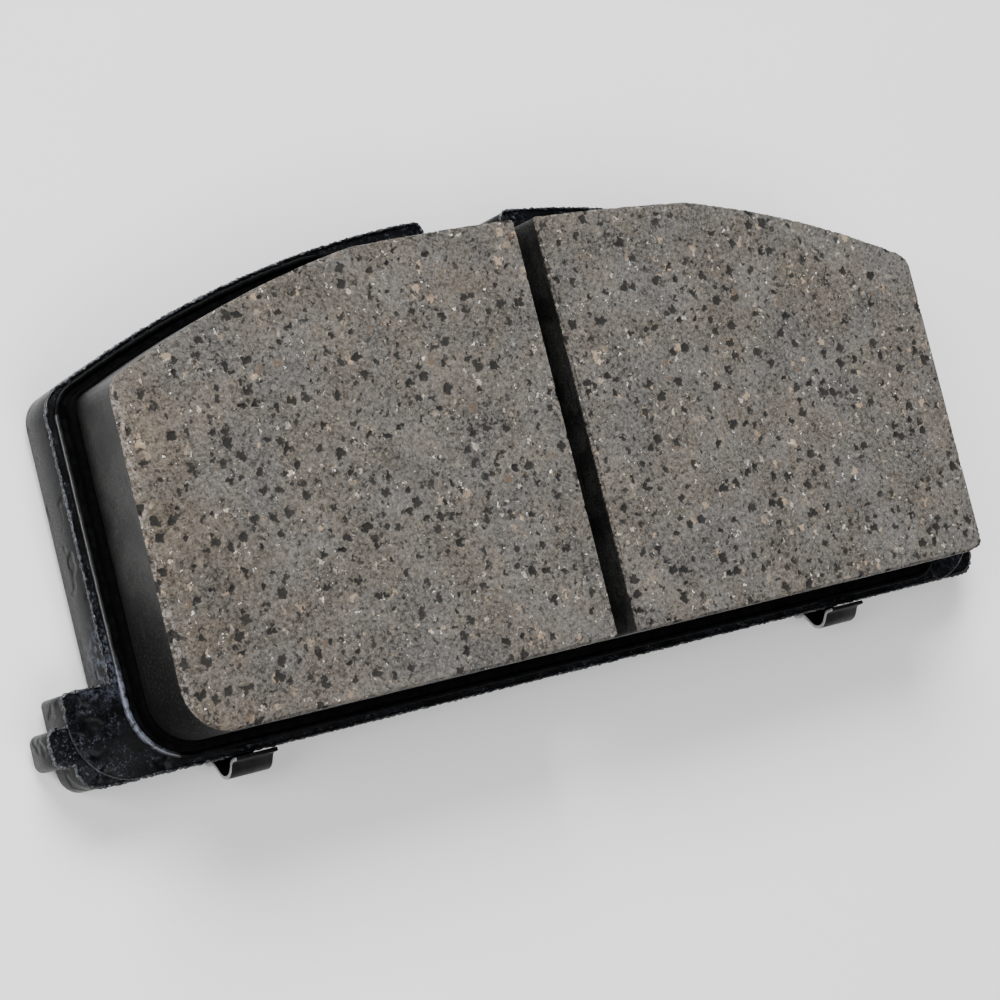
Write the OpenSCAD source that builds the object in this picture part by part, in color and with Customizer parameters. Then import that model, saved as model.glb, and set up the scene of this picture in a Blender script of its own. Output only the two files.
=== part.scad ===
// Disc-brake pad of a small car, lying on its back.
// +X runs along the pad, +Y points away from the wheel's axis, +Z points at the disc.
// The origin is the centre of the outer shim's rear face.

/* [Friction blocks] */
// Length of the friction face, end to end
friction_length = 100; // [84:0.5:122]
// Height of the friction face at its middle
friction_height = 43.8; // [36:0.2:60]
// Thickness of the friction blocks above the underlayer
friction_thickness = 8.35; // [2:0.05:12]
// Radius of the shoulders, struck from the disc's axis
arc_radius = 115; // [100:0.5:160]
// How far the middle is pressed flat below the shoulders' arc
crown_flat = 1.35; // [0.4:0.05:2.5]
// Radius of the flattened middle
crown_radius = 400; // [250:5:900]
// Width of the slot between the two blocks
slot_width = 2.6; // [1:0.1:6]
// Corner radius at both shoulders
shoulder_corner = 2; // [1.2:0.1:5]
// Corner radius at the lower left
lower_left_corner = 4.8; // [1.2:0.1:8]
// Corner radius at the lower right
lower_right_corner = 2; // [1.2:0.1:8]

/* [Bond] */
// Thickness of the underlayer
underlayer_thickness = 1.5; // [0.6:0.05:3]
// How far the underlayer spreads past the blocks
flash = 0.3; // [0.1:0.05:0.8]
// Thickness of the bonding film
film_thickness = 0.15; // [0.05:0.05:0.4]
// How far the film is squeezed out past the blocks
film_spread = 1.2; // [0.3:0.05:1.5]
// Diameter of the keying holes through the plate
key_diameter = 9; // [5:0.1:12]
// Distance of the inner keying holes from the middle
inner_key_x = 13; // [10:0.5:16]
// Distance of the outer keying holes from the middle
outer_key_x = 35; // [29:0.5:36]

/* [Backing plate] */
// Thickness of the plate
plate_thickness = 5; // [3.5:0.05:7]
// Plate showing past the blocks at each side
side_margin = 2.2; // [1:0.1:4]
// Plate showing past the shoulders' arc
top_margin = 1.8; // [1:0.1:4]
// Plate showing below the blocks
bottom_margin = 2.1; // [1:0.1:4]
// Radius of the plate's upper corners
plate_corner = 3; // [1:0.1:5]
// Width of the notch in the plate's top edge
notch_width = 10.1; // [8:0.1:20]
// Place of the notch's middle along the pad, from the pad's middle
notch_x = -0.9; // [-4:0.1:4]
// Depth of the notch below the plate's arc
notch_depth = 2.4; // [1:0.05:2.6]
// Radius of the notch's outer corners
notch_corner = 0.9; // [0.3:0.1:1.2]

/* [Ears] */
// How far each ear stands out from the plate's side
ear_reach = 5.1; // [3:0.1:10]
// Height of each ear
ear_height = 9.2; // [7.8:0.1:12]
// Radius of the ear's upper corner
ear_top_corner = 0.6; // [0.2:0.1:1.5]
// Radius of the ear's lower corner
ear_low_corner = 2.2; // [0.5:0.1:2.4]
// How far the guide nub stands out from the ear
nub_reach = 2; // [0.8:0.1:4]
// Height of the guide nub
nub_height = 3.6; // [2.2:0.1:4.4]
// Distance of the nub above the plate's lower edge
nub_rise = 2.6; // [2.4:0.1:3.2]
// Radius of the nub's corners
nub_corner = 0.9; // [0.3:0.1:1]
// Depth that the ear's rim is coined below the plate's front face
coin_depth = 0.4; // [0.1:0.05:1]
// Radius of the line where the coined rim starts
coin_radius = 6; // [3:0.1:7]

/* [Shims] */
// Thickness of each rubber skin of the inner shim
rubber_thickness = 0.15; // [0.1:0.01:0.3]
// Thickness of the inner shim's steel core
core_thickness = 0.3; // [0.2:0.05:0.8]
// Thickness of the outer shim's sheet
sheet_thickness = 0.4; // [0.25:0.01:0.5]
// How far the inner shim stops short of the blocks' outline
inner_inset = 1; // [0.2:0.1:1.1]
// How far the outer shim stops short of the blocks' outline
outer_inset = 0.4; // [0:0.1:1.1]
// Gap between the plate's edges and the sheet folded round them
fold_gap = 0.1; // [0.05:0.01:0.3]
// Middle radius of the fold at the plate's edge
fold_radius = 0.5; // [0.4:0.05:0.7]
// Width of the upper tab is the notch less this gap at each side
tab_side_gap = 2; // [0.5:0.1:3]
// How far the upper tab stops short of the plate's front face
tab_setback = 0.5; // [0.1:0.1:2]

/* [Hooks] */
// Width of each rolled hook
hook_width = 4.6; // [2:0.1:9]
// Distance of the left hook's middle from the pad's middle
left_hook_x = 39.4; // [20:0.1:41]
// Distance of the right hook's middle from the pad's middle
right_hook_x = 36.4; // [20:0.1:41]
// How far the hook's lip reaches past the plate's front face
lip_overhang = 0.9; // [0.2:0.1:1.5]
// Straight end of the lip
lip_length = 0.8; // [0.3:0.1:1.5]
// Middle radius of the rolled bottom
roll_radius = 1.5; // [0.8:0.05:1.6]
// Middle radius of the two lesser bends
crease_radius = 0.8; // [0.5:0.05:0.9]
// Angle at which the hook dips below the plate
dip_angle = 50; // [35:1:55]
// Length of the straight dip
dip_length = 1.1; // [0.6:0.05:1.3]
// Angle at which the hook comes up again
rise_angle = 55; // [40:1:60]
// Length of the straight rise
rise_length = 0.6; // [0.3:0.05:0.7]
// Upward tilt left on the lip
lip_tilt = 5; // [0:1:8]

/* [Hidden] */
$fn = 96;

// How far a cutter runs past what it cuts
past = 1;
// Reach of a wedge, counted in the radius that it has to clear
wedge_reach = 3;

// Heights of the layers' rear faces
rubber_rear_z = sheet_thickness;
core_z = rubber_rear_z + rubber_thickness;
rubber_front_z = core_z + core_thickness;
plate_z = rubber_front_z + rubber_thickness;
film_z = plate_z + plate_thickness;
underlayer_z = film_z + film_thickness;
friction_z = underlayer_z + underlayer_thickness;

// The blocks' edges, and the centre of the arc that every shoulder shares
friction_half = friction_length / 2;
friction_low = -friction_height / 2;
friction_high = friction_height / 2;
arc_y = friction_high + crown_flat - arc_radius;

// The plate's edges
plate_half = friction_half + side_margin;
plate_low = friction_low - bottom_margin;
plate_arc = arc_radius + top_margin;
notch_y = arc_y + plate_arc - notch_depth;
ear_end = plate_half + ear_reach;
ear_high = plate_low + ear_height;

// The sheet folded round the plate's edges, measured at the middle of its thickness
half_sheet = sheet_thickness / 2;
tab_y = notch_y + fold_gap + half_sheet;
hook_y = plate_low - fold_gap - half_sheet;
tab_width = notch_width - 2 * tab_side_gap;

// Colours
paint_black = [0.04, 0.04, 0.045];
friction_taupe = [0.43, 0.4, 0.37];
underlayer_black = [0.09, 0.087, 0.083];
film_black = [0.05, 0.05, 0.055];
rubber_black = [0.08, 0.08, 0.08];
core_steel = [0.55, 0.56, 0.58];

// Height of a concentric arc above the pad's middle, at a distance from the centre line
function arc_height(radius, x) = arc_y + sqrt(radius * radius - x * x);

// A corner radius that follows its outline as the outline grows or shrinks
function grown(radius, grow) = max(radius + grow, 0.1);

// How far a strip travels along +X over its runs [length, 0] and bends [radius, angle]
function reach(steps, i = 0, heading = 0) =
    i == len(steps) ? 0 :
    steps[i][1] == 0 ? steps[i][0] * cos(heading) + reach(steps, i + 1, heading) :
    steps[i][0] * sign(steps[i][1]) * (sin(heading + steps[i][1]) - sin(heading))
        + reach(steps, i + 1, heading + steps[i][1]);

// Draws its children on the right, or mirrored on the left
module on_side(side) {
    if (side < 0) {
        mirror([1, 0]) children();
    } else {
        children();
    }
}

// A four-cornered wedge from a centre, between two directions
module wedge(length, from, to) {
    middle = (from + to) / 2;
    polygon([
        [0, 0],
        length * [cos(from), sin(from)],
        length * [cos(middle), sin(middle)],
        length * [cos(to), sin(to)]
    ]);
}

// What rounding takes off a convex corner: a wedge less the circle that the corner becomes
module corner_waste(centre, radius, from, to) {
    translate(centre)
        difference() {
            wedge(wedge_reach * radius, from, to);
            circle(r = radius);
        }
}

// The waste of a corner where a straight side meets the arc
module shoulder_waste(half, radius, corner) {
    x = half - corner;
    y = arc_height(radius - corner, x);
    corner_waste([x, y], corner, 0, atan2(y - arc_y, x));
}

// The blocks' common outline, grown outwards by an even margin
module friction_outline(grow = 0) {
    half = friction_half + grow;
    low = friction_low - grow;
    high = friction_high + grow;
    difference() {
        intersection() {
            translate([0, arc_y]) circle(r = arc_radius + grow);
            translate([0, high - crown_radius]) circle(r = crown_radius);
            translate([-half, low]) square([2 * half, high - low]);
        }
        for (side = [-1, 1]) {
            corner = grown(side < 0 ? lower_left_corner : lower_right_corner, grow);
            on_side(side) {
                shoulder_waste(half, arc_radius + grow, grown(shoulder_corner, grow));
                corner_waste([half - corner, low + corner], corner, -90, 0);
            }
        }
    }
}

// The keying holes or plugs
module key_circles() {
    for (x = [-outer_key_x, -inner_key_x, inner_key_x, outer_key_x]) {
        translate([x, 0]) circle(d = key_diameter);
    }
}

// The plate without its ears
module plate_body_outline() {
    difference() {
        intersection() {
            translate([0, arc_y]) circle(r = plate_arc);
            translate([-plate_half, plate_low])
                square([2 * plate_half, arc_y + plate_arc - plate_low]);
        }
        translate([notch_x - notch_width / 2, notch_y]) square([notch_width, notch_depth + past]);
        for (side = [-1, 1]) {
            on_side(side) {
                shoulder_waste(plate_half, plate_arc, plate_corner);
                notch_corner_waste(side);
            }
        }
    }
}

// The waste of the notch's outer corner on one side, drawn on the right
module notch_corner_waste(side) {
    x = side * notch_x + notch_width / 2 + notch_corner;
    y = arc_height(plate_arc - notch_corner, x);
    corner_waste([x, y], notch_corner, atan2(y - arc_y, x), 180);
}

// The right ear's block, with a rounded lower corner
module ear_block(low_corner) {
    root = plate_half - ear_height;
    difference() {
        translate([root, plate_low]) square([ear_end - root, ear_height]);
        corner_waste([ear_end - low_corner, plate_low + low_corner], low_corner, -90, 0);
        corner_waste([ear_end - ear_top_corner, ear_high - ear_top_corner], ear_top_corner, 0, 90);
    }
}

// The right ear's guide nub
module nub() {
    root = ear_end - nub_height;
    tip = ear_end + nub_reach;
    low = plate_low + nub_rise;
    high = low + nub_height;
    difference() {
        translate([root, low]) square([tip - root, nub_height]);
        corner_waste([tip - nub_corner, low + nub_corner], nub_corner, -90, 0);
        corner_waste([tip - nub_corner, high - nub_corner], nub_corner, 0, 90);
    }
}

// The whole plate
module plate_outline() {
    plate_body_outline();
    for (side = [-1, 1]) {
        on_side(side) {
            ear_block(ear_low_corner);
            nub();
        }
    }
}

// The right ear's coined rim: the nub, and all that lies outside a wider lower corner
module coined_rim() {
    root = ear_end - coin_radius;
    tip = ear_end + nub_reach + past;
    difference() {
        translate([root, plate_low - past]) square([tip - root, ear_height + past]);
        ear_block(coin_radius);
    }
}

// A strip of bent sheet in section, laid from the origin along +X at the middle of its thickness
module strip(steps, i = 0) {
    if (i < len(steps)) {
        size = steps[i][0];
        turn = steps[i][1];
        if (turn == 0) {
            translate([0, -half_sheet]) square([size, sheet_thickness]);
            translate([size, 0]) strip(steps, i + 1);
        } else {
            side = sign(turn);
            translate([0, side * size]) {
                bend(size, -90 * side, turn);
                rotate(turn) translate([0, -side * size]) strip(steps, i + 1);
            }
        }
    }
}

// One bend of the strip round the origin
module bend(radius, from, turn) {
    intersection() {
        difference() {
            circle(r = radius + half_sheet);
            circle(r = radius - half_sheet);
        }
        wedge(wedge_reach * (radius + half_sheet), from, from + turn);
    }
}

// Stands a section drawn in (Z, Y) across the pad's length
module across(width) {
    rotate([0, -90, 0]) linear_extrude(height = width, center = true) children();
}

// A rolled hook: fold under the plate, dip, roll up again and end in a lip
module hook() {
    start = friction_low + outer_inset + fold_radius;
    leg = start - hook_y - fold_radius;
    curl = [
        [crease_radius, -dip_angle],
        [dip_length, 0],
        [roll_radius, dip_angle + rise_angle],
        [rise_length, 0],
        [crease_radius, lip_tilt - rise_angle],
        [lip_length, 0]
    ];
    run = film_z + lip_overhang - half_sheet - fold_radius - reach(curl);
    across(hook_width)
        translate([half_sheet, start])
            rotate(-90) strip(concat([[leg, 0], [fold_radius, 90], [run, 0]], curl));
}

// The upper tab, folded forward over the notch's floor
module upper_tab() {
    start = friction_high - outer_inset - fold_radius;
    leg = tab_y - fold_radius - start;
    run = film_z - tab_setback - half_sheet - fold_radius;
    across(tab_width)
        translate([half_sheet, start])
            rotate(90) strip([[leg, 0], [fold_radius, -90], [run, 0]]);
}

module backing_plate() {
    color(paint_black)
        difference() {
            translate([0, 0, plate_z])
                linear_extrude(height = plate_thickness) plate_outline();
            translate([0, 0, plate_z - past])
                linear_extrude(height = plate_thickness + 2 * past) key_circles();
            translate([0, 0, film_z - coin_depth])
                linear_extrude(height = coin_depth + past)
                    for (side = [-1, 1]) {
                        on_side(side) coined_rim();
                    }
        }
}

module bonding_film() {
    color(film_black)
        translate([0, 0, film_z])
            linear_extrude(height = film_thickness)
                difference() {
                    intersection() {
                        friction_outline(film_spread);
                        plate_body_outline();
                    }
                    key_circles();
                }
}

module underlayer() {
    color(underlayer_black) {
        translate([0, 0, underlayer_z])
            linear_extrude(height = underlayer_thickness) friction_outline(flash);
        translate([0, 0, plate_z])
            linear_extrude(height = friction_z - plate_z) key_circles();
    }
}

// One friction block: the outline on one side of the slot
module friction_block(side) {
    color(friction_taupe)
        translate([0, 0, friction_z])
            linear_extrude(height = friction_thickness)
                intersection() {
                    friction_outline();
                    on_side(side)
                        translate([slot_width / 2, friction_low])
                            square([friction_half, friction_height]);
                }
}

module friction_block_left() {
    friction_block(-1);
}

module friction_block_right() {
    friction_block(1);
}

// One flat layer of the inner shim
module inner_layer(z, thickness) {
    translate([0, 0, z]) linear_extrude(height = thickness) friction_outline(-inner_inset);
}

module shim_rubber_front() {
    color(rubber_black) inner_layer(rubber_front_z, rubber_thickness);
}

module shim_core() {
    color(core_steel) inner_layer(core_z, core_thickness);
}

module shim_rubber_rear() {
    color(rubber_black) inner_layer(rubber_rear_z, rubber_thickness);
}

module outer_shim() {
    color(paint_black) {
        linear_extrude(height = sheet_thickness) friction_outline(-outer_inset);
        translate([notch_x, 0, 0]) upper_tab();
        translate([-left_hook_x, 0, 0]) hook();
        translate([right_hook_x, 0, 0]) hook();
    }
}

backing_plate();
bonding_film();
underlayer();
friction_block_left();
friction_block_right();
shim_rubber_front();
shim_core();
shim_rubber_rear();
outer_shim();
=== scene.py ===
# %% [markdown]
# # A disc-brake pad, seen face up
#
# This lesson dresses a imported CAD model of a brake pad: a black painted steel plate, a moulded
# friction lining split by one slot, the film and the underlayer that bond it, and the shims behind.
# The CAD model is the frame: it fixes every size and place. Blender only adds what a drawing
# leaves out, such as rolled edges, pits, grit, paint and light.

# %% Load the frame
import math

import bpy
from mathutils import Matrix, Vector


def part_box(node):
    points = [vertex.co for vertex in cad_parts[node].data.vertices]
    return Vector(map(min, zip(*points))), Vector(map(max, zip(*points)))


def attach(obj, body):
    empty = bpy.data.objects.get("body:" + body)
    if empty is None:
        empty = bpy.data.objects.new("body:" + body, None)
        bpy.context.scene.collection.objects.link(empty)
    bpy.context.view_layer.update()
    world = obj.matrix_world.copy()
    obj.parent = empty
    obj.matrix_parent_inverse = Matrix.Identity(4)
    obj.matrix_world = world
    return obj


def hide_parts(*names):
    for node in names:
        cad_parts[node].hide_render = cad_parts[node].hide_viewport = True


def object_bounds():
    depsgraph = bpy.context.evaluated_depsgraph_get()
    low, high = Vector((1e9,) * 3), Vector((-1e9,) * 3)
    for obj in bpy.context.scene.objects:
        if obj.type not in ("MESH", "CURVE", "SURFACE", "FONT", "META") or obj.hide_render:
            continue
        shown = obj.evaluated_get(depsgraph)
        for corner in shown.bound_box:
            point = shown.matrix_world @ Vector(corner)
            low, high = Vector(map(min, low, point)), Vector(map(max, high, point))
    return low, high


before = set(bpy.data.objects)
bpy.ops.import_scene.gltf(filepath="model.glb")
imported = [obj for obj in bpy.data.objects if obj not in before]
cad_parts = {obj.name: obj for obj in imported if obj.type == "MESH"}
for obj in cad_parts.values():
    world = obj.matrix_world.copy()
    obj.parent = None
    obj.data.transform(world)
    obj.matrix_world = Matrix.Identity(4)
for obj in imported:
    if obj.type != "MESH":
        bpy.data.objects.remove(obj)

cad_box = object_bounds()
MM = 0.001
print("CAD box in mm:", [[round(v / MM, 2) for v in corner] for corner in cad_box])


# %% [markdown]
# ## Places that every step uses
#
# Nothing is measured twice. The heights of the layers and the edges of the lining are read from
# the CAD nodes' boxes, so this file follows the part when its sizes change.

# %% Read the driving places from the frame
plate_low, plate_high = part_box("backing_plate")
lining_low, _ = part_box("friction_block_left")
slot_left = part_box("friction_block_left")[1].x
_, lining_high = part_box("friction_block_right")
slot_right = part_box("friction_block_right")[0].x
film_low, film_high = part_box("bonding_film")
print("Lining from", tuple(round(v / MM, 2) for v in lining_low), "to",
      tuple(round(v / MM, 2) for v in lining_high))
print("Slot", round((slot_right - slot_left) / MM, 2), "mm wide")


# %% [markdown]
# ## The camera
#
# A long lens close to life size keeps the pad's far end small but not tiny. The camera stands off
# the left end and looks across the lining, with the pad rolled so that it climbs to the right.
# A camera looks along its own -Z, so its three axes are worked out and set as a matrix, which is
# surer than turning it by trial.

# %% Set the camera
EYE = Vector((-159.39, -24.28, 237.17)) * MM
AIM = Vector((-11.35, -5.98, 16.0)) * MM
ROLL = math.radians(14.06)
LENS = 97.06

camera_data = bpy.data.cameras.new("pad_camera")
camera_data.lens = LENS
camera_data.sensor_width = 36.0
camera_data.clip_start = 0.01
camera = bpy.data.objects.new("pad_camera", camera_data)
bpy.context.scene.collection.objects.link(camera)
forward = (AIM - EYE).normalized()
level_right = forward.cross(Vector((0, 1, 0))).normalized()
level_up = level_right.cross(forward)
up = level_up * math.cos(ROLL) + level_right * math.sin(ROLL)
right = forward.cross(up)
axes = Matrix((right, up, -forward)).transposed()
camera.matrix_world = Matrix.Translation(EYE) @ axes.to_4x4()
bpy.context.scene.camera = camera
print("Camera looks along", tuple(round(v, 3) for v in forward))


# %% [markdown]
# ## Small tools for modelling and for node trees
#
# An operator works on whatever is selected, and the frame arrives with its nodes selected. So each
# step starts from an empty selection and then picks what it needs.
# A material and a Geometry Nodes group are both node trees, and the texture and maths nodes are the
# same in both. One helper that adds a node and wires it can therefore describe a pattern once and
# use it twice: as colour on the surface, and as real pits in the mesh.

# %% Selection helpers
def pick(*objects):
    """Selects only these objects and makes the last one active."""
    bpy.ops.object.select_all(action="DESELECT")
    for one in objects:
        one.select_set(True)
        bpy.context.view_layer.objects.active = one


# %% Node helpers
def put(tree, kind, inputs=None, **settings):
    """Adds a node, sets its properties, and sets or links its inputs."""
    made = tree.nodes.new(kind)
    for name, value in settings.items():
        setattr(made, name, value)
    for name, value in (inputs or {}).items():
        if isinstance(value, bpy.types.NodeSocket):
            tree.links.new(value, made.inputs[name])
        else:
            made.inputs[name].default_value = value
    return made


def calc(tree, operation, a, b=0.0, c=0.0):
    """One sum on numbers."""
    return put(tree, "ShaderNodeMath", {0: a, 1: b, 2: c}, operation=operation).outputs[0]


def times(tree, a, b):
    """The product of two numbers, which is how one mask narrows another."""
    return calc(tree, "MULTIPLY", a, b)


def axis_of(tree, vector, index):
    """One coordinate of a vector: 0 along the pad, 1 away from the wheel, 2 towards the disc."""
    return put(tree, "ShaderNodeSeparateXYZ", {0: vector}).outputs[index]


def ramp(tree, value, start, end, low=0.0, high=1.0, smooth=True):
    """Turns value's span from start to end into low to high, and holds it there outside."""
    kind = "SMOOTHSTEP" if smooth else "LINEAR"
    made = put(tree, "ShaderNodeMapRange", {0: value, 1: start, 2: end, 3: low, 4: high},
               interpolation_type=kind)
    return made.outputs[0]


def mix(tree, amount, a, b, blend="MIX"):
    """Mixes two colours, which are the node's inputs 6 and 7."""
    made = put(tree, "ShaderNodeMix", {0: amount, 6: a, 7: b}, data_type="RGBA", blend_type=blend)
    return made.outputs[2]


def grey(level, warmth=0.0):
    """A linear grey, a little warmer or cooler."""
    return (level * (1 + warmth), level, level * (1 - warmth), 1.0)


def in_mm(tree, position):
    """A position in millimetres, so that every pattern's scale is per millimetre."""
    made = put(tree, "ShaderNodeVectorMath", {0: position, "Scale": 1 / MM}, operation="SCALE")
    return made.outputs[0]


def noise(tree, place, per_mm, detail=2.0, rough=0.5, offset=(0, 0, 0)):
    """Cloudy noise, 0 to 1, about 0.5."""
    moved = put(tree, "ShaderNodeVectorMath", {0: place, 1: offset}, operation="ADD").outputs[0]
    made = put(tree, "ShaderNodeTexNoise",
               {"Vector": moved, "Scale": per_mm, "Detail": detail, "Roughness": rough})
    return made.outputs[0]


def grains(tree, place, size, share, radius, offset=(0, 0, 0)):
    """Scattered grains: the share of the cells of a size that hold one, of about a radius, in mm.

    Gives (1 inside a grain and 0 outside, a number from 0 to 1 that differs from grain to grain).
    """
    moved = put(tree, "ShaderNodeVectorMath", {0: place, 1: offset}, operation="ADD").outputs[0]
    cells = put(tree, "ShaderNodeTexVoronoi", {"Vector": moved, "Scale": 1 / size})
    channels = put(tree, "ShaderNodeSeparateColor" if tree.type == "SHADER"
                   else "FunctionNodeSeparateColor", {0: cells.outputs["Color"]})
    held = calc(tree, "LESS_THAN", channels.outputs[0], share)
    reach = calc(tree, "MULTIPLY_ADD", channels.outputs[1], radius, radius / 2)
    far = times(tree, cells.outputs["Distance"], size)
    depth = calc(tree, "DIVIDE", calc(tree, "SUBTRACT", reach, far), radius)
    inside = ramp(tree, depth, -0.15, 0.3)
    return times(tree, inside, held), channels.outputs[2]


def near(tree, place, centre, reach):
    """1 within a third of a reach about a centre, in mm, fading to 0 at the full reach."""
    gap = put(tree, "ShaderNodeVectorMath", {0: place, 1: centre}, operation="DISTANCE")
    return ramp(tree, gap.outputs["Value"], reach, reach / 3, 0.0, 1.0)


def new_finish(name):
    """An empty material: (material, tree, its shader, the place in mm)."""
    finish = bpy.data.materials.new(name)
    finish.use_nodes = True
    tree = finish.node_tree
    shader = tree.nodes["Principled BSDF"]
    place = in_mm(tree, put(tree, "ShaderNodeTexCoord").outputs["Object"])
    return finish, tree, shader, place


def bumped(tree, shader, height, millimetres):
    """Gives the shader a bump whose height input of 1 stands that many millimetres high."""
    made = put(tree, "ShaderNodeBump", {"Height": height, "Distance": millimetres * MM,
                                        "Strength": 1.0})
    tree.links.new(made.outputs[0], shader.inputs["Normal"])


# %% [markdown]
# ## The friction compound
#
# A lining is pressed from resin, fibres, minerals and coke, cured, and ground flat. The ground face
# cuts through the grains: dull black coke that the wheel leaves slightly hollow, cream, pale and
# brown minerals, and white and dark flecks, all in a fine grey-brown matrix.
# The pattern lives in space, as the real mix does, and every size in it is in millimetres.
# The moulded sides keep a dark skin. Painted shade darkens it towards its base and, in specks, in
# the low left corner, and there the face was torn a little as well: the corner shade and the tear
# are both soft clouds about a place.

# %% Describe the coke grains
def shaken(tree, place, amount, per_mm):
    """The place pushed about by noise, so that round cells become angular grains."""
    clouds = put(tree, "ShaderNodeTexNoise", {"Vector": place, "Scale": per_mm, "Detail": 1.0})
    centred = put(tree, "ShaderNodeVectorMath", {0: clouds.outputs["Color"], 1: (0.5, 0.5, 0.5)},
                  operation="SUBTRACT").outputs[0]
    push = put(tree, "ShaderNodeVectorMath", {0: centred, "Scale": amount},
               operation="SCALE").outputs[0]
    return put(tree, "ShaderNodeVectorMath", {0: place, 1: push}, operation="ADD").outputs[0]


def coke(tree, place):
    """The black grains: large ones and small ones. Gives both masks and the large ones' number."""
    angular = shaken(tree, place, 1.1, 1.8)
    large, number = grains(tree, angular, 1.5, 0.92, 0.42)
    small, _ = grains(tree, angular, 1.0, 0.65, 0.22, (31, 7, 3))
    return large, number, small


# %% Make the friction compound
LEFT_MM = lining_low.x / MM
LOW_MM = lining_low.y / MM
BASE_MM = lining_low.z / MM
FACE_MM = lining_high.z / MM
MATRIX_TONE = 0.1
TONE_START = -1.38
TORN_PLACE = (LEFT_MM + 4, LOW_MM + 12, FACE_MM)
TORN_REACH = 14
# Painted shade on the skin is centred here, in the low left corner near the base.
CORNER_SHADE_PLACE = (LEFT_MM, LOW_MM + 4, BASE_MM + 1)
CORNER_SHADE_REACH = 15

# Each mineral: size of its cells, share of them that hold a grain, radius, offset, colour.
CREAM_MINERAL = (1.5, 0.4, 0.34, (11, 3, 8), (0.28, 0.21, 0.145, 1))
PALE_MINERAL = (1.1, 0.34, 0.22, (2, 17, 5), (0.38, 0.33, 0.27, 1))
BROWN_MINERAL = (1.9, 0.2, 0.35, (8, 2, 19), (0.095, 0.068, 0.047, 1))
WHITE_FLECK = (0.6, 0.25, 0.1, (4, 4, 23), (0.75, 0.73, 0.68, 1))
DARK_FLECK = (0.6, 0.2, 0.13, (14, 9, 2), (0.02, 0.018, 0.016, 1))
MINERALS = (CREAM_MINERAL, PALE_MINERAL, BROWN_MINERAL, WHITE_FLECK, DARK_FLECK)

# Tints multiply a tone, so they are near 1. The last is a colour of its own.
MATRIX_TINT = (1.0, 0.985, 0.955, 1)
BROWNED_TINT = (1.18, 0.98, 0.77, 1)
COKE_TINT = (1.03, 1.0, 0.92, 1)
SKIN_TINT = (1.03, 1.0, 0.97, 1)
CHIPPED_COLOUR = (0.25, 0.22, 0.205, 1)


def tinted(tree, tone, tint):
    """A colour that is a tint times a varying tone."""
    grey_tone = put(tree, "ShaderNodeCombineColor", {0: tone, 1: tone, 2: tone}).outputs[0]
    return mix(tree, 1.0, tint, grey_tone, "MULTIPLY")


def matrix_colour(tree, place):
    """The grey-brown ground mass: fine grit on cloudy tones, browner towards the left end."""
    cells = put(tree, "ShaderNodeTexVoronoi", {"Vector": shaken(tree, place, 0.25, 6),
                                               "Scale": 4.5}).outputs["Color"]
    grit_tone, grit_tint, _ = put(tree, "ShaderNodeSeparateColor", {0: cells}).outputs
    tone = TONE_START
    for part, weight in (
        (grit_tone, 0.62),
        (noise(tree, place, 8.0, 2, 0.7, (9, 2, 4)), 1.0),
        (noise(tree, place, 2.0, 3, 0.7, (5, 5, 5)), 1.95),
        (noise(tree, place, 0.2, 3), 0.8),
    ):
        tone = calc(tree, "MULTIPLY_ADD", part, weight, tone)
    tone = times(tree, calc(tree, "MAXIMUM", tone, 0.1), MATRIX_TONE)
    torn = ramp(tree, noise(tree, place, 0.9, 3, 0.65, (1, 5, 5)), 0.4, 0.56, 0.0, 0.24)
    torn = times(tree, torn, near(tree, place, TORN_PLACE, TORN_REACH))
    tone = times(tree, tone, calc(tree, "SUBTRACT", 1.0, torn))
    brown = ramp(tree, axis_of(tree, place, 0), LEFT_MM + 12, LEFT_MM, 0.0, 0.35)
    clouds = ramp(tree, noise(tree, place, 0.14, 3, 0.6, (3, 8, 1)), 0.35, 0.65, 0, 0.4)
    warm = calc(tree, "ADD", calc(tree, "MULTIPLY_ADD", grit_tint, 0.45, brown), clouds)
    tint = mix(tree, warm, MATRIX_TINT, BROWNED_TINT)
    return tinted(tree, tone, tint)


def ground_colour(tree, place):
    """The ground face: the matrix, then minerals in patches, light chips, and the coke."""
    colour = matrix_colour(tree, place)
    angular = shaken(tree, place, 1.1, 2.4)
    patches = ramp(tree, noise(tree, place, 0.35, 3, 0.6, (2, 7, 7)), 0.4, 0.6, 0.15, 0.9)
    for size, share, radius, offset, mineral in MINERALS:
        mask, _ = grains(tree, angular, size, share, radius, offset)
        colour = mix(tree, times(tree, mask, patches), colour, mineral)
    by_edge = ramp(tree, axis_of(tree, place, 0), LEFT_MM + 1.2, LEFT_MM + 0.3)
    broken = ramp(tree, noise(tree, place, 2.2, 3, 0.7, (6, 2, 2)), 0.48, 0.6, 0.0, 0.7)
    colour = mix(tree, times(tree, by_edge, broken), colour, CHIPPED_COLOUR)
    large, number, small = coke(tree, place)
    black = calc(tree, "MAXIMUM", large, times(tree, small, 0.8))
    sheen = times(tree, noise(tree, place, 3.0, 2, 0.6, (6, 6, 1)), 0.035)
    soot = calc(tree, "MULTIPLY_ADD", number, sheen, 0.003)
    soot = tinted(tree, soot, COKE_TINT)
    return mix(tree, times(tree, black, 0.95), colour, soot)


def corner_shade(tree, place):
    """How much painted shade darkens the skin: a speckled cloud in the low corner."""
    specks = ramp(tree, noise(tree, place, 3.0, 3, 0.8, (8, 8, 1)), 0.3, 0.55, 0.55, 1.0)
    return times(tree, specks, near(tree, place, CORNER_SHADE_PLACE, CORNER_SHADE_REACH))


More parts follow.
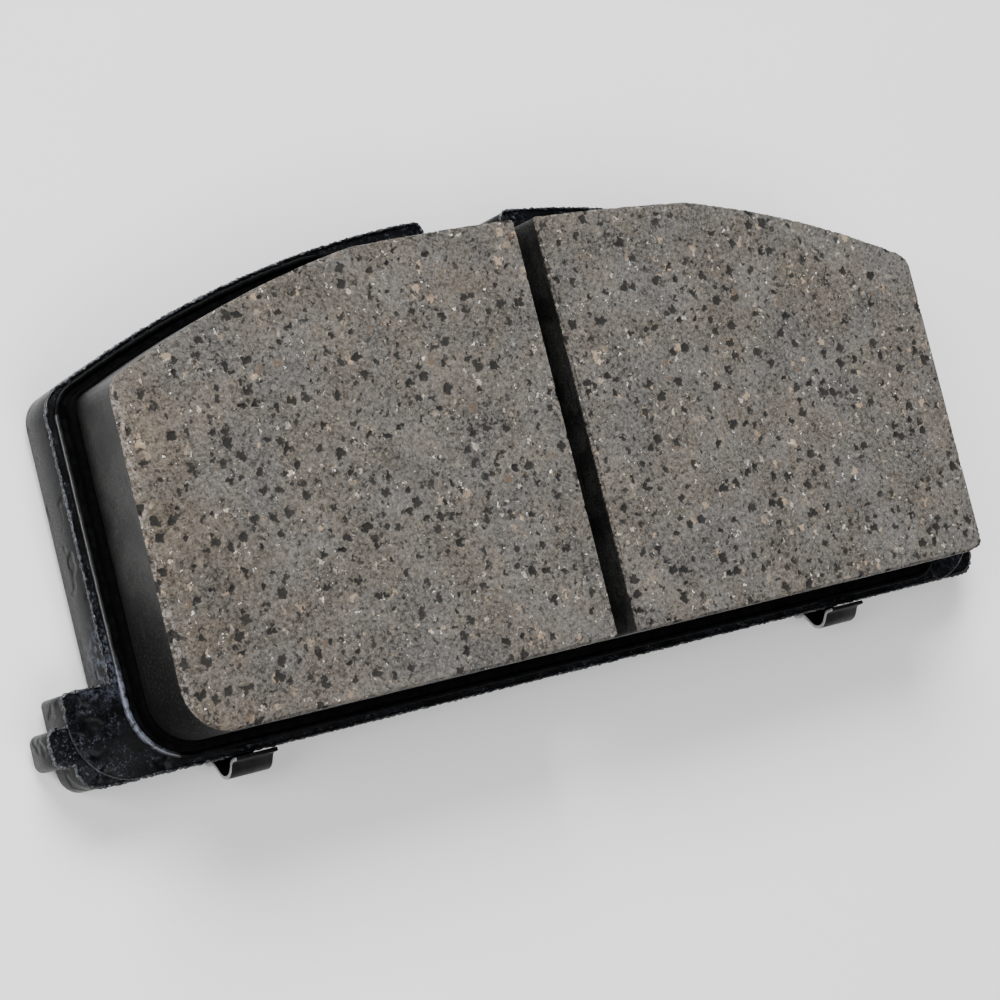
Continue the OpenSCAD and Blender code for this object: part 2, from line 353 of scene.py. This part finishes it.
def skin_colour(tree, place):
    """The moulded sides: a dark skin in faint layers, turned black at the base by painted shade."""
    layered = put(tree, "ShaderNodeVectorMath", {0: place, 1: (0.2, 0.2, 1.3)},
                  operation="MULTIPLY").outputs[0]
    tone = calc(tree, "MULTIPLY_ADD", noise(tree, layered, 2.2, 3, 0.6), 0.012, -0.0245)
    tone = calc(tree, "MULTIPLY_ADD", noise(tree, place, 4, 3, 0.8, (4, 1, 9)), 0.07, tone)
    tone = calc(tree, "MAXIMUM", tone, 0.003)
    stains = ramp(tree, noise(tree, place, 0.22, 3, 0.6, (4, 3, 9)), 0.42, 0.62, 1.0, 0.45)
    waves = noise(tree, place, 0.3, 2)
    wavy = calc(tree, "MULTIPLY_ADD", waves, 1.5, axis_of(tree, place, 2))
    # Painted shade: the skin darkens to black towards the base, where it meets the plate.
    base_shade = ramp(tree, wavy, BASE_MM + 0.5, BASE_MM + 4.0, 0.04, 1.0)
    # Painted shade in specks darkens the skin in the low left corner.
    unshaded = calc(tree, "SUBTRACT", 1.0, corner_shade(tree, place))
    for mask in (stains, base_shade, unshaded):
        tone = times(tree, tone, mask)
    pits, _ = grains(tree, shaken(tree, layered, 0.7, 2.2), 1.0, 0.5, 0.16, (3, 3, 3))
    return mix(tree, pits, tinted(tree, tone, SKIN_TINT), grey(0.006))


def friction_finish():
    """One finish for both blocks: ground colour above a ragged line at the face, skin below."""
    finish, tree, shader, place = new_finish("friction_compound")
    rag = noise(tree, place, 1.6, 3, 0.7)
    ragged = calc(tree, "MULTIPLY_ADD", rag, 0.5, axis_of(tree, place, 2))
    ground = ramp(tree, ragged, FACE_MM - 0.3, FACE_MM - 0.1)
    colour = mix(tree, ground, skin_colour(tree, place), ground_colour(tree, place))
    tree.links.new(colour, shader.inputs["Base Color"])
    skin_dull = ramp(tree, corner_shade(tree, place), 0, 1, 0.42, 0.95, smooth=False)
    dull = mix(tree, ground, skin_dull, grey(0.8))
    tree.links.new(dull, shader.inputs["Roughness"])
    shader.inputs["Specular IOR Level"].default_value = 0.13
    grit = noise(tree, place, 4.5, 2, 0.7, (9, 2, 4))
    bumped(tree, shader, times(tree, grit, ramp(tree, ground, 0, 1, 0.4, 1)), 0.06)
    return finish


friction_compound = friction_finish()
print("Friction compound has", len(friction_compound.node_tree.nodes), "nodes")


# %% [markdown]
# ## The black paint
#
# The plate is blasted steel with a thin coat of black stoving paint. The coat is satin and slightly
# orange-peeled. Dust clings to its front faces in fine specks, and by the left ear a grey blue
# patch is a painted reflection.

# %% Make the plate's paint
# A painted reflection on the paint is centred here, by the left ear.
EAR_REFLECTION_PLACE = (plate_low.x / MM + 6.5, plate_low.y / MM + 11.5, plate_high.z / MM)
EAR_REFLECTION_REACH = 5.0
PAINT_TINT = (0.93, 1.0, 1.15, 1)
DUST_COLOUR = (0.065, 0.072, 0.095, 1)
EAR_REFLECTION_COLOUR = (0.06, 0.068, 0.09, 1)
DENT_TO_PEEL = -5.0


def paint_finish():
    """Satin black with dust on its front faces, a painted reflection by the ear, and a few dents.
    """
    finish, tree, shader, place = new_finish("plate_paint")
    peel = noise(tree, place, 0.7, 3, 0.55)
    blast = noise(tree, place, 4.0, 3, 0.7, (3, 3, 3))
    tone = ramp(tree, peel, 0.3, 0.7, 0.001, 0.0035)
    colour = tinted(tree, tone, PAINT_TINT)
    front = plate_high.z / MM
    cloud = ramp(tree, noise(tree, place, 0.35, 3, 0.6, (1, 6, 2)), 0.4, 0.6)
    cloud = times(tree, cloud, ramp(tree, axis_of(tree, place, 2), front - 0.9, front - 0.5))
    dust = ramp(tree, noise(tree, place, 3.2, 4, 0.85, (5, 2, 1)), 0.52, 0.7)
    colour = mix(tree, times(tree, dust, cloud), colour, DUST_COLOUR)
    # The painted reflection by the ear, broken into patches.
    patchy_mask = ramp(tree, noise(tree, place, 1.5, 4, 0.75, (2, 9, 9)), 0.44, 0.62, 0.0, 0.8)
    ear_reflection = times(tree, near(tree, place, EAR_REFLECTION_PLACE, EAR_REFLECTION_REACH), patchy_mask)
    colour = mix(tree, ear_reflection, colour, EAR_REFLECTION_COLOUR)
    tree.links.new(colour, shader.inputs["Base Color"])
    tree.links.new(ramp(tree, blast, 0.3, 0.7, 0.26, 0.38), shader.inputs["Roughness"])
    shader.inputs["Specular IOR Level"].default_value = 0.08
    dents = ramp(tree, noise(tree, place, 0.45, 1, 0.5, (7, 7, 2)), 0.58, 0.76)
    skin = calc(tree, "MULTIPLY_ADD", blast, 0.2, peel)
    bumped(tree, shader, calc(tree, "MULTIPLY_ADD", dents, DENT_TO_PEEL, skin), 0.03)
    return finish


plate_paint = paint_finish()


# %% [markdown]
# ## Bond, rubber and steel
#
# The remaining layers show only at their edges: the cured film squeezed out round the lining, the
# dark underlayer, the rubber skins of the inner shim and its steel core, and the coated outer shim.
# All but the film need only two tones and a fine bump, so one function makes them; the film's
# finish is made further on.

# %% Make the lesser finishes
def plain_finish(name, dark, light, rough_low, rough_high, metallic=0.0, gloss=0.15):
    """Two tones in clouds, with a fine grain that varies the roughness and the height."""
    finish, tree, shader, place = new_finish(name)
    cloud = noise(tree, place, 1.5, 4, 0.6)
    fine = noise(tree, place, 7.5, 2, 0.6, (7, 7, 7))
    colour = mix(tree, ramp(tree, cloud, 0.3, 0.7), dark, light)
    tree.links.new(colour, shader.inputs["Base Color"])
    tree.links.new(ramp(tree, fine, 0.3, 0.7, rough_low, rough_high), shader.inputs["Roughness"])
    shader.inputs["Metallic"].default_value = metallic
    shader.inputs["Specular IOR Level"].default_value = gloss
    bumped(tree, shader, fine, 0.02)
    return finish


underlayer_compound = plain_finish("underlayer_compound", grey(0.0008), grey(0.002, 0.03),
                                   0.7, 0.9, gloss=0.03)
shim_rubber = plain_finish("shim_rubber", grey(0.006), grey(0.012), 0.5, 0.7)
shim_steel = plain_finish("shim_steel", grey(0.3), grey(0.45), 0.3, 0.45, 1.0)
shim_coat = plain_finish("shim_coat", grey(0.003), grey(0.009), 0.3, 0.45, gloss=0.08)


# %% [markdown]
# ## Worn edges and painted highlights
#
# Handling rubs the paint on the plate's burr to a grey blue in stretches, which also paint a
# highlight on the bead. Along the plate's lower edge the highlight is left off and the bead stays
# nearly black.
# The film's rim has a light grey blue painted highlight at the left. Its rim and its flat share one
# recipe, which differs only in how much painted highlight it has and how glossy it is.

# %% Make the worn paint of the burr, with its painted highlight
KEPT_BLACK = (0.004, 0.0045, 0.006, 1)
# The grey blue is paint wear and a painted highlight in one; the lower edge keeps a small share.
RUBBED_AND_HIGHLIT_BLUE = (0.056, 0.062, 0.075, 1)
LEAST_WEAR_AND_HIGHLIGHT = 0.12


def worn_and_highlit_finish():
    """Black paint, worn grey blue in stretches, also a painted highlight; not on the lower edge."""
    finish, tree, shader, place = new_finish("worn_and_highlit_paint")
    low = plate_low.y / MM
    # Along the lower edge the painted highlight is left off, so the bead stays nearly black there.
    highlight_by_height = ramp(tree, axis_of(tree, place, 1), low + 0.5, low + 2, LEAST_WEAR_AND_HIGHLIGHT, 1)
    stretches = ramp(tree, noise(tree, place, 0.16, 2, 0.6, (3, 1, 2)), 0.4, 0.6)
    stretches = times(tree, stretches, highlight_by_height)
    patchy_mask = ramp(tree, noise(tree, place, 2.2, 3, 0.7, (1, 2, 3)), 0.42, 0.62)
    colour = mix(tree, times(tree, stretches, patchy_mask), KEPT_BLACK, RUBBED_AND_HIGHLIT_BLUE)
    tree.links.new(colour, shader.inputs["Base Color"])
    tree.links.new(ramp(tree, patchy_mask, 0, 1, 0.28, 0.45), shader.inputs["Roughness"])
    shader.inputs["Specular IOR Level"].default_value = 0.5
    bumped(tree, shader, noise(tree, place, 5, 2, 0.7), 0.03)
    return finish


worn_and_highlit_paint = worn_and_highlit_finish()


# %% Make the cured film
# The film rim's painted highlight is centred here, in the low left corner.
RIM_HIGHLIGHT_PLACE = (LEFT_MM - 0.6, LOW_MM + 3.8, film_high.z / MM)
RIM_HIGHLIGHT_REACH = 6.5
FILM_TINT = (0.95, 1.0, 1.1, 1)
RIM_HIGHLIGHT_COLOUR = (0.10, 0.11, 0.145, 1)


def film_finish(name, highlight_share, gloss):
    """Cured black adhesive, with a share of painted highlight in the low left corner."""
    finish, tree, shader, place = new_finish(name)
    cloud = noise(tree, place, 1.2, 3, 0.6)
    colour = tinted(tree, ramp(tree, cloud, 0.3, 0.7, 0.001, 0.003), FILM_TINT)
    # Painted highlight: a light grey blue in patches about the low left corner.
    highlight_mask = ramp(tree, noise(tree, place, 1.3, 4, 0.75, (8, 1, 3)), 0.36, 0.56)
    highlight_mask = times(tree, highlight_mask, near(tree, place, RIM_HIGHLIGHT_PLACE, RIM_HIGHLIGHT_REACH))
    colour = mix(tree, times(tree, highlight_mask, highlight_share), colour, RIM_HIGHLIGHT_COLOUR)
    tree.links.new(colour, shader.inputs["Base Color"])
    tree.links.new(ramp(tree, cloud, 0.3, 0.7, 0.3, 0.4), shader.inputs["Roughness"])
    shader.inputs["Specular IOR Level"].default_value = gloss
    bumped(tree, shader, cloud, 0.008)
    return finish


cured_film = film_finish("cured_film", 0.0, 0.06)
# The rim's finish is glossy and carries the painted highlight.
highlit_rim = film_finish("highlit_film_rim", 0.85, 0.6)


# %% Dress the CAD nodes that stay
def dress(node, finish):
    """Gives a CAD node that stays as it is a finish in place of its plain colour."""
    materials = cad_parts[node].data.materials
    materials.clear()
    materials.append(finish)


dress("underlayer", underlayer_compound)
dress("shim_rubber_front", shim_rubber)
dress("shim_core", shim_steel)
dress("shim_rubber_rear", shim_rubber)


# %% [markdown]
# ## From a node to a finished piece
#
# A CAD node is sharp: its faces meet at knife edges, and its mesh is loose triangles. The real
# pieces are pressed, ground and painted, so each visible one is modelled on. The node's shape is
# copied, its triangles are merged and its flat faces made whole, and then the copy gets its rolled
# edges and its surface as geometry. The node itself stays untouched and is only hidden.
# Two places closer than a hair count as one place.

# %% Helpers that turn a node's shape into a mesh to work on
MERGE = 0.002 * MM
HAIR = 0.01 * MM
FLAT_ANGLE = 0.3
SMOOTH_ANGLE = 35


def shape_of(node, name):
    """A new object with a node's shape, merged into whole faces."""
    piece = bpy.data.objects.new(name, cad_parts[node].data.copy())
    bpy.context.scene.collection.objects.link(piece)
    piece.data.materials.clear()
    pick(piece)
    bpy.ops.object.mode_set(mode="EDIT")
    bpy.ops.mesh.select_all(action="SELECT")
    bpy.ops.mesh.remove_doubles(threshold=MERGE)
    bpy.ops.mesh.dissolve_limited(angle_limit=math.radians(FLAT_ANGLE))
    bpy.ops.mesh.normals_make_consistent(inside=False)
    bpy.ops.object.mode_set(mode="OBJECT")
    return piece


def apply(piece, kind, **settings):
    """Adds a modifier to a piece and applies it."""
    pick(piece)
    modifier = piece.modifiers.new(kind.lower(), kind)
    for name, value in settings.items():
        setattr(modifier, name, value)
    bpy.ops.object.modifier_apply(modifier=modifier.name)


def round_edges(piece, width, segments=2, angle=40):
    """Rolls every edge that is sharper than an angle."""
    apply(piece, "BEVEL", width=width * MM, segments=segments, limit_method="ANGLE",
          angle_limit=math.radians(angle), use_clamp_overlap=True)


def press(piece, depth_in_mm):
    """Pushes a piece's skin inwards by what depth_in_mm(tree, place, normal) says, as geometry."""
    tree = bpy.data.node_groups.new(piece.name + "_relief", "GeometryNodeTree")
    for way in ("INPUT", "OUTPUT"):
        tree.interface.new_socket("Geometry", in_out=way, socket_type="NodeSocketGeometry")
    place = in_mm(tree, put(tree, "GeometryNodeInputPosition").outputs[0])
    normal = put(tree, "GeometryNodeInputNormal").outputs[0]
    depth = times(tree, depth_in_mm(tree, place, normal), -MM)
    push = put(tree, "ShaderNodeVectorMath", {0: normal, "Scale": depth}, operation="SCALE")
    start = put(tree, "NodeGroupInput").outputs[0]
    moved = put(tree, "GeometryNodeSetPosition", {"Geometry": start, "Offset": push.outputs[0]})
    put(tree, "NodeGroupOutput", {0: moved.outputs[0]})
    apply(piece, "NODES", node_group=tree)


def finish_piece(piece, finish, slot, *nodes):
    """Gives a piece its finish, its body and the nodes that it stands for."""
    if not piece.data.materials:
        piece.data.materials.append(finish)
    pick(piece)
    bpy.ops.object.shade_smooth_by_angle(angle=math.radians(SMOOTH_ANGLE))
    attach(piece, "root")
    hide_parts(*nodes)
    triangles = sum(len(face.vertices) - 2 for face in piece.data.polygons)
    print(piece.name, "has", triangles, "triangles")


# %% [markdown]
# ## The friction blocks
#
# Each block is pressed to shape and then its face is ground. Grinding breaks the arris into small
# chips, and the coke grains stand a little below the face. Bump alone would leave the outline
# straight, so the block is remeshed into an even skin and the pits and chips are pressed into it.
# The pits come from the very same coke pattern that colours the face, so each black grain lies in
# its own hollow.

# %% Model the friction blocks
SKIN_VOXEL = 0.25
ARRIS = 0.2
DEEPEST_PIT = 0.24
SHALLOWEST_PIT = 0.05
SMALL_PIT = 0.07
CHIP = 0.45
MOULD_WAVE = 0.12


def block_relief(tree, place, normal):
    """How deep a block's skin lies below its CAD face: pits, chips and moulding marks."""
    # facing is 1 on the ground face, 0 on the sides, and between the two on the arris.
    facing = axis_of(tree, normal, 2)
    ground = ramp(tree, facing, 0.6, 0.95)
    large, number, small = coke(tree, place)
    pit = times(tree, large, ramp(tree, number, 0, 1, DEEPEST_PIT, SHALLOWEST_PIT))
    pit = calc(tree, "MULTIPLY_ADD", small, SMALL_PIT, pit)
    pit = times(tree, pit, ground)
    arris = times(tree, ramp(tree, facing, 0.05, 0.4), ramp(tree, facing, 0.95, 0.6))
    chip = ramp(tree, noise(tree, place, 1.5, 3, 0.7, (2, 2, 2)), 0.42, 0.7)
    pit = calc(tree, "MULTIPLY_ADD", times(tree, arris, chip), CHIP, pit)
    wave = calc(tree, "SUBTRACT", noise(tree, place, 0.35, 2, 0.5, (6, 1, 1)), 0.4)
    side = calc(tree, "SUBTRACT", 1.0, ground)
    return calc(tree, "MULTIPLY_ADD", times(tree, wave, side), MOULD_WAVE, pit)


def friction_block(node, name):
    """Models one block. The skin's flat back, which nothing shows, is made one face again."""
    block = shape_of(node, name)
    round_edges(block, ARRIS)
    apply(block, "REMESH", mode="VOXEL", voxel_size=SKIN_VOXEL * MM)
    press(block, block_relief)
    back = lining_low.z + SKIN_VOXEL * MM
    for face in block.data.polygons:
        face.select = face.normal.z < -0.99 and face.center.z < back
    bpy.ops.object.mode_set(mode="EDIT")
    bpy.ops.mesh.select_mode(type="FACE")
    bpy.ops.mesh.dissolve_faces()
    bpy.ops.object.mode_set(mode="OBJECT")
    finish_piece(block, friction_compound, "friction_compound", node)


friction_block("friction_block_left", "lining_left")
friction_block("friction_block_right", "lining_right")


# %% [markdown]
# ## The plate, with the bead of paint along its edge
#
# The plate is punched from strip, which leaves a raised burr along the front edge, and the paint
# gathers on the burr as a beaded line. The edge is found by its place: it joins the front face, or
# the ear's coined rim, to a wall that runs the plate's whole thickness. That line of edges is
# duplicated, turned into a curve with a round section, and roughened. A finer bead marks the step
# where the ear's rim was coined down. The edges of the keying holes are left out, because the
# lining covers them.

# %% Run a bead along chosen edges
HOLE_ZONE = 6 * MM
VOXEL_TO_RADIUS = 0.6


def bead_along(piece, name, chosen, radius, roughness, finish):
    """A rough round bead along the edges of a piece that chosen(mesh, edge, faces) accepts."""
    bead = piece.copy()
    mesh = bead.data = piece.data.copy()
    bead.name = name
    bpy.context.scene.collection.objects.link(bead)
    faces_of = {}
    for face in mesh.polygons:
        for key in face.edge_keys:
            faces_of.setdefault(key, []).append(face)
    picks = [chosen(mesh, edge, faces_of[edge.key]) for edge in mesh.edges]
    print(name, "follows", sum(picks), "edges")
    pick(bead)
    bpy.ops.object.mode_set(mode="EDIT")
    bpy.ops.mesh.select_mode(type="EDGE")
    bpy.ops.mesh.select_all(action="DESELECT")
    bpy.ops.object.mode_set(mode="OBJECT")
    mesh.edges.foreach_set("select", [not picked for picked in picks])
    bpy.ops.object.mode_set(mode="EDIT")
    bpy.ops.mesh.delete(type="EDGE_FACE")
    bpy.ops.object.mode_set(mode="OBJECT")
    bpy.ops.object.convert(target="CURVE")
    curve = bpy.context.object
    curve.data.bevel_depth = radius * MM
    curve.data.bevel_resolution = 3
    curve.data.use_fill_caps = True
    bpy.ops.object.convert(target="MESH")
    bead = bpy.context.object
    apply(bead, "REMESH", mode="VOXEL", voxel_size=radius * MM * VOXEL_TO_RADIUS)

    def lumps(tree, place, normal):
        """Swells and dips about the bead's round section."""
        fine = noise(tree, place, 2.2, 3, 0.7)
        return times(tree, calc(tree, "SUBTRACT", fine, 0.5), roughness)

    press(bead, lumps)
    bead.data.materials.clear()
    bead.data.materials.append(finish)
    return bead


def faces_front(face):
    """True for a face that looks towards the disc."""
    return face.normal.z > 0.9


def is_wall(face):
    """True for a face that stands square to the disc."""
    return abs(face.normal.z) < 0.1


def full_wall(mesh, face):
    """True for a wall that reaches down to the plate's rear face."""
    low = min(mesh.vertices[i].co.z for i in face.vertices)
    return is_wall(face) and low < plate_low.z + HAIR


def by_hole(mesh, edge):
    """True for an edge of a keying hole: under the lining and close to the middle line."""
    middle = (mesh.vertices[edge.vertices[0]].co + mesh.vertices[edge.vertices[1]].co) / 2
    return abs(middle.x) < lining_high.x and abs(middle.y) < HOLE_ZONE


def on_plate_rim(mesh, edge, faces):
    """True for an edge between a front face and a wall of the plate's own outline."""
    return (len(faces) == 2 and any(faces_front(f) for f in faces)
            and any(full_wall(mesh, f) for f in faces) and not by_hole(mesh, edge))


def on_film_rim(mesh, edge, faces):
    """True for an edge between the film's front face and its outer wall."""
    return (len(faces) == 2 and any(faces_front(f) for f in faces)
            and any(is_wall(f) for f in faces) and not by_hole(mesh, edge))


def on_coin_step(mesh, edge, faces):
    """True for an edge where the ear's front face drops to its coined rim."""
    walls = [face for face in faces if is_wall(face)]
    top = mesh.vertices[edge.vertices[0]].co.z > film_low.z - HAIR
    return (top and len(faces) == 2 and any(faces_front(f) for f in faces)
            and len(walls) == 1 and not full_wall(mesh, walls[0]))


# %% Model the plate
BURR_RADIUS = 0.17
BURR_ROUGHNESS = 0.6
STEP_RADIUS = 0.08
STEP_ROUGHNESS = 0.15
PLATE_ROLL = 0.15
plate = shape_of("backing_plate", "plate")
plate.data.materials.append(plate_paint)
burr = bead_along(plate, "plate_burr", on_plate_rim, BURR_RADIUS, BURR_ROUGHNESS, worn_and_highlit_paint)
step = bead_along(plate, "plate_step", on_coin_step, STEP_RADIUS, STEP_ROUGHNESS, worn_and_highlit_paint)
round_edges(plate, PLATE_ROLL)
pick(burr, step, plate)
bpy.ops.object.join()
finish_piece(plate, plate_paint, "plate_paint", "backing_plate")


# %% [markdown]
# ## The film
#
# The film is adhesive that melts when the lining is pressed on. It is squeezed out all round, and
# cures as a thin sheet with a raised, rounded rim. The rim gets a glossy finish with a painted
# highlight only down the left end and a little way round the low corner.

# %% Model the film and its rim
RIM_RADIUS = 0.33
RIM_ROUGHNESS = 0.12
film = shape_of("bonding_film", "film")
film.data.materials.append(cured_film)
rim = bead_along(film, "film_rim", on_film_rim, RIM_RADIUS, RIM_ROUGHNESS, highlit_rim)
rim.data.materials.append(cured_film)
# The glossy rim with its painted highlight stays only down the left end and round the low corner.
highlight_right = lining_low.x + 3 * MM
highlight_top = lining_high.y - 11 * MM
for face in rim.data.polygons:
    if face.center.x > highlight_right or face.center.y > highlight_top:
        face.material_index = 1
pick(rim, film)
bpy.ops.object.join()
finish_piece(film, cured_film, "cured_adhesive", "bonding_film")


# %% [markdown]
# ## The outer shim
#
# The shim is stamped from coated sheet. Its faces keep the black coat, and the hooks' cut edges
# show bare steel. The edges are rolled a little, and then the cut faces are picked by their
# direction and given the bare finish.

# %% Model the outer shim
SHEET_ROLL = 0.06
shim = shape_of("outer_shim", "shim")
shim.data.materials.append(shim_coat)
shim.data.materials.append(shim_steel)
round_edges(shim, SHEET_ROLL, angle=50)
for face in shim.data.polygons:
    on_hook = face.center.y < plate_low.y
    cut_edge = abs(face.normal.x) > 0.5
    if on_hook and cut_edge:
        face.material_index = 1
finish_piece(shim, shim_coat, "shim_coat", "outer_shim")


# %% [markdown]
# ## Floor and light
#
# The pad lies on a pale floor under three large soft lights, as on a studio table. The room
# adds an even glow that is brightest at the horizon and dim overhead, so that the black parts keep
# their outlines without a grey veil on their tops.

# %% Lay the floor
FLOOR_SIZE = 6.0
FLOOR_DROP = 0.02 * MM
pick()
bpy.ops.mesh.primitive_plane_add(size=FLOOR_SIZE, location=(0, 0, cad_box[0].z - FLOOR_DROP))
floor = bpy.context.object
floor.name = "floor"
floor_finish, tree, shader, place = new_finish("floor_paper")
tone = ramp(tree, noise(tree, place, 0.02, 2), 0.3, 0.7, 0.86, 0.88)
tree.links.new(put(tree, "ShaderNodeCombineColor", {0: tone, 1: tone, 2: tone}).outputs[0],
               shader.inputs["Base Color"])
shader.inputs["Roughness"].default_value = 0.9
shader.inputs["Specular IOR Level"].default_value = 0.1
floor.data.materials.append(floor_finish)


# %% Hang the lights
PAD_MIDDLE = Vector((0, 0, 0.01))


def soft_light(name, place, size, watts):
    """A rectangular light that points at the pad and that the camera doesn't see."""
    data = bpy.data.lights.new(name, "AREA")
    data.shape = "RECTANGLE"
    data.size, data.size_y = size
    data.energy = watts
    lamp = bpy.data.objects.new(name, data)
    bpy.context.scene.collection.objects.link(lamp)
    lamp.location = place
    away = PAD_MIDDLE - lamp.location
    lamp.rotation_euler = away.to_track_quat("-Z", "Y").to_euler()
    lamp.visible_camera = False


soft_light("key_light", place=(-0.2, 0.85, 0.75), size=(0.7, 0.5), watts=24.0)
soft_light("front_light", place=(-0.1, -0.5, 0.9), size=(0.8, 0.6), watts=8.0)
soft_light("side_light", place=(-0.75, 0.15, 0.6), size=(0.4, 0.4), watts=6.0)
print("Three lights hung")


# %% Light the room
HORIZON_GLOW = 1.1
OVERHEAD_GLOW = 0.12
world = bpy.data.worlds.new("studio")
bpy.context.scene.world = world
world.use_nodes = True
room = world.node_tree
sky = room.nodes["Background"]
upward = axis_of(room, put(room, "ShaderNodeTexCoord").outputs["Generated"], 2)
strength = ramp(room, upward, 0.0, 0.45, HORIZON_GLOW, OVERHEAD_GLOW)
room.links.new(strength, sky.inputs["Strength"])
sky.inputs["Color"].default_value = (1, 1, 1, 1)
